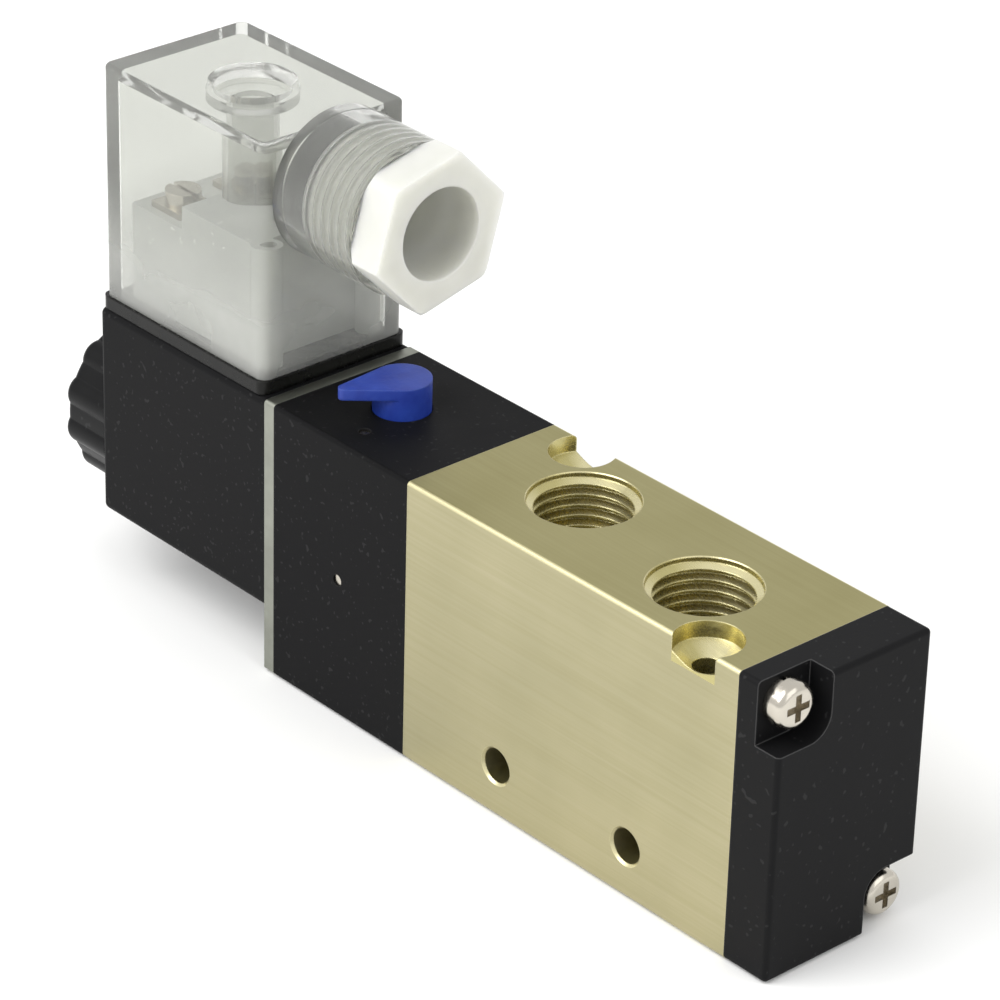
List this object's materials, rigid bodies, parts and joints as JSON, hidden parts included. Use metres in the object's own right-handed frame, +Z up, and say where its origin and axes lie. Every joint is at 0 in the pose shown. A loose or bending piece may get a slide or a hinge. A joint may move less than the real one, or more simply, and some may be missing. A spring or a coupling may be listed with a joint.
{
  "type": "solenoid directional valve",
  "caption": "Pneumatic solenoid directional valve: metal spool body with threaded ports, black pilot, coil with clear cable plug, blue manual override.",
  "frame": {"origin": "centre of the pressure port's mouth on the underside of the valve body, which is also the middle of the two corner screw holes", "axes": "+X along the spool from the solenoid to the end cap, +Y across the body, +Z up out of the working ports"},
  "size_m": [0.1263, 0.0226, 0.0705],
  "materials": {
    "body_anodised": "satin",
    "spool_aluminium": "satin",
    "seal_rubber": "satin",
    "gasket_rubber": "gloss",
    "grommet_rubber": "matte",
    "piston_plastic": "matte",
    "spring_steel": "satin",
    "black_plastic": "matte",
    "black_knob": "satin",
    "nickel_screw": "satin",
    "blue_plastic": "satin",
    "brass_part": "satin",
    "zinc_plate": "satin",
    "core_steel": "satin",
    "copper_winding": "satin",
    "clear_plastic": "gloss",
    "frosted_plastic": "satin",
    "white_plastic": "satin"
  },
  "bodies": {
    "valve": {"valve_body": "body_anodised", "end_cap": "black_plastic", "end_cap_gasket": "seal_rubber", "end_cap_screws": "nickel_screw", "end_cap_spring_washers": "nickel_screw", "pilot_body": "black_plastic", "pilot_gasket": "seal_rubber", "pilot_screws": "nickel_screw", "passage_plugs": "nickel_screw", "override_pin": "nickel_screw", "pilot_nozzle": "brass_part", "tube_plate": "zinc_plate", "armature_tube": "core_steel", "tube_ring": "seal_rubber", "fixed_core": "core_steel", "coil_housing": "black_plastic", "coil_yoke": "zinc_plate", "coil_bobbin": "piston_plastic", "coil_winding": "copper_winding", "coil_terminals": "brass_part", "fixing_bush": "brass_part", "return_spring": "spring_steel", "plunger_spring": "spring_steel"},
    "spool_set": {"spool": "spool_aluminium", "spool_seals": "seal_rubber", "drive_piston": "piston_plastic", "piston_seal": "seal_rubber"},
    "plunger_set": {"plunger": "core_steel", "plunger_seals": "seal_rubber"},
    "override_carrier": {"override_spring": "spring_steel"},
    "override": {"override_lever": "blue_plastic", "override_seals": "seal_rubber"},
    "plug": {"connector_housing": "clear_plastic", "connector_gasket": "gasket_rubber", "terminal_block": "frosted_plastic", "terminal_clips": "brass_part", "terminal_clamps": "nickel_screw", "terminal_screws": "nickel_screw", "fixing_screw": "nickel_screw", "gland_grommet": "grommet_rubber"},
    "gland_slider": {"gland_follower": "white_plastic"},
    "gland": {"gland_nut": "white_plastic"},
    "coil_nut_slider": {"coil_nut_washer": "nickel_screw"},
    "coil_knob": {"coil_nut": "black_knob"}
  },
  "joints": [
    {"name": "spool_slide", "type": "slide", "parent": "valve", "child": "spool_set", "axis": [1, 0, 0], "range_m": [0, 0.003], "stiffness_N_per_m": 1200, "springref_m": -0.003, "deforming": ["return_spring"]},
    {"name": "plunger_slide", "type": "slide", "parent": "valve", "child": "plunger_set", "axis": [-1, 0, 0], "range_m": [0, 0.00085], "stiffness_N_per_m": 600, "springref_m": -0.003, "deforming": ["plunger_spring"]},
    {"name": "override_turn", "type": "hinge", "parent": "valve", "child": "override_carrier", "pos_m": [-0.04125, 0, 0.0364], "axis": [0, 0, 1], "range_deg": [0, 90]},
    {"name": "override_press", "type": "slide", "parent": "override_carrier", "child": "override", "axis": [0, 0, -1], "range_m": [0, 0.0012], "stiffness_N_per_m": 2500, "springref_m": -0.001, "deforming": ["override_spring"]},
    {"name": "plug_lift", "type": "slide", "parent": "valve", "child": "plug", "axis": [0, 0, 1], "range_m": [0, 0.014]},
    {"name": "gland_advance", "type": "slide", "parent": "plug", "child": "gland_slider", "axis": [1, 0, 0], "range_m": [0, 0.0045]},
    {"name": "gland_turn", "type": "hinge", "parent": "gland_slider", "child": "gland", "pos_m": [-0.04, 0, 0.061], "axis": [1, 0, 0], "range_deg": [0, 1080]},
    {"name": "coil_nut_advance", "type": "slide", "parent": "valve", "child": "coil_nut_slider", "axis": [-1, 0, 0], "range_m": [0, 0.004]},
    {"name": "coil_nut_turn", "type": "hinge", "parent": "coil_nut_slider", "child": "coil_knob", "pos_m": [-0.088, 0, 0.0184], "axis": [-1, 0, 0], "range_deg": [0, 1440]}
  ],
  "couplings": [
    {"joint": "gland_turn", "follows": "gland_advance", "rad_per_m": 4188.8},
    {"joint": "coil_nut_turn", "follows": "coil_nut_advance", "rad_per_m": 6283.2}
  ]
}
